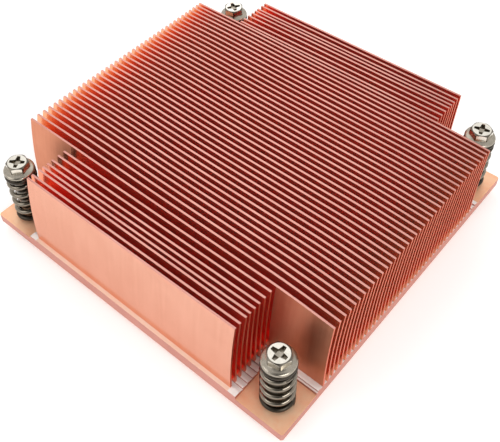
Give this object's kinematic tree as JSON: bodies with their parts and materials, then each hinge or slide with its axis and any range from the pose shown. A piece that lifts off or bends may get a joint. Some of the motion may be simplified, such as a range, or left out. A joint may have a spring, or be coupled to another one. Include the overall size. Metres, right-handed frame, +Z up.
{
  "type": "passive server cpu heatsink",
  "caption": "Square copper heatsink with thin curved fins skived from its base, notched corners and captive spring-loaded screws, cooling a server processor in ducted air.",
  "frame": {"origin": "centre of the flat underside that rests on the processor's lid", "axes": "+Z up out of the underside towards the fin tips, X along the fins and the airflow, Y across the fins, with the fin tips curled towards +Y"},
  "size_m": [0.092, 0.092, 0.0266],
  "materials": {
    "copper": "bare skived copper, machined on the base and pads",
    "nickel_plated_steel": "bright nickel plate",
    "clip_steel": "spring steel, dull",
    "spring_steel": "bright drawn wire"
  },
  "bodies": {
    "block": {"heatsink_body": "copper", "front_right_spring": "spring_steel", "front_left_spring": "spring_steel", "rear_right_spring": "spring_steel", "rear_left_spring": "spring_steel"},
    "clip_front_right": {"front_right_clip": "clip_steel"},
    "clip_front_left": {"front_left_clip": "clip_steel"},
    "clip_rear_right": {"rear_right_clip": "clip_steel"},
    "clip_rear_left": {"rear_left_clip": "clip_steel"},
    "screw_front_right": {"front_right_screw": "nickel_plated_steel"},
    "screw_front_left": {"front_left_screw": "nickel_plated_steel"},
    "screw_rear_right": {"rear_right_screw": "nickel_plated_steel"},
    "screw_rear_left": {"rear_left_screw": "nickel_plated_steel"}
  },
  "joints": [
    {"name": "front_right_press", "type": "slide", "parent": "block", "child": "clip_front_right", "axis": [0, 0, -1], "range_m": [0, 0.004], "stiffness_N_per_m": 4000, "springref_m": -0.002, "deforming": ["front_right_spring"]},
    {"name": "front_right_turn", "type": "hinge", "parent": "clip_front_right", "child": "screw_front_right", "pos_m": [0.04, -0.04, 0], "axis": [0, 0, 1], "continuous": true},
    {"name": "front_left_press", "type": "slide", "parent": "block", "child": "clip_front_left", "axis": [0, 0, -1], "range_m": [0, 0.004], "stiffness_N_per_m": 4000, "springref_m": -0.002, "deforming": ["front_left_spring"]},
    {"name": "front_left_turn", "type": "hinge", "parent": "clip_front_left", "child": "screw_front_left", "pos_m": [-0.04, -0.04, 0], "axis": [0, 0, 1], "continuous": true},
    {"name": "rear_right_press", "type": "slide", "parent": "block", "child": "clip_rear_right", "axis": [0, 0, -1], "range_m": [0, 0.004], "stiffness_N_per_m": 4000, "springref_m": -0.002, "deforming": ["rear_right_spring"]},
    {"name": "rear_right_turn", "type": "hinge", "parent": "clip_rear_right", "child": "screw_rear_right", "pos_m": [0.04, 0.04, 0], "axis": [0, 0, 1], "continuous": true},
    {"name": "rear_left_press", "type": "slide", "parent": "block", "child": "clip_rear_left", "axis": [0, 0, -1], "range_m": [0, 0.004], "stiffness_N_per_m": 4000, "springref_m": -0.002, "deforming": ["rear_left_spring"]},
    {"name": "rear_left_turn", "type": "hinge", "parent": "clip_rear_left", "child": "screw_rear_left", "pos_m": [-0.04, 0.04, 0], "axis": [0, 0, 1], "continuous": true}
  ]
}
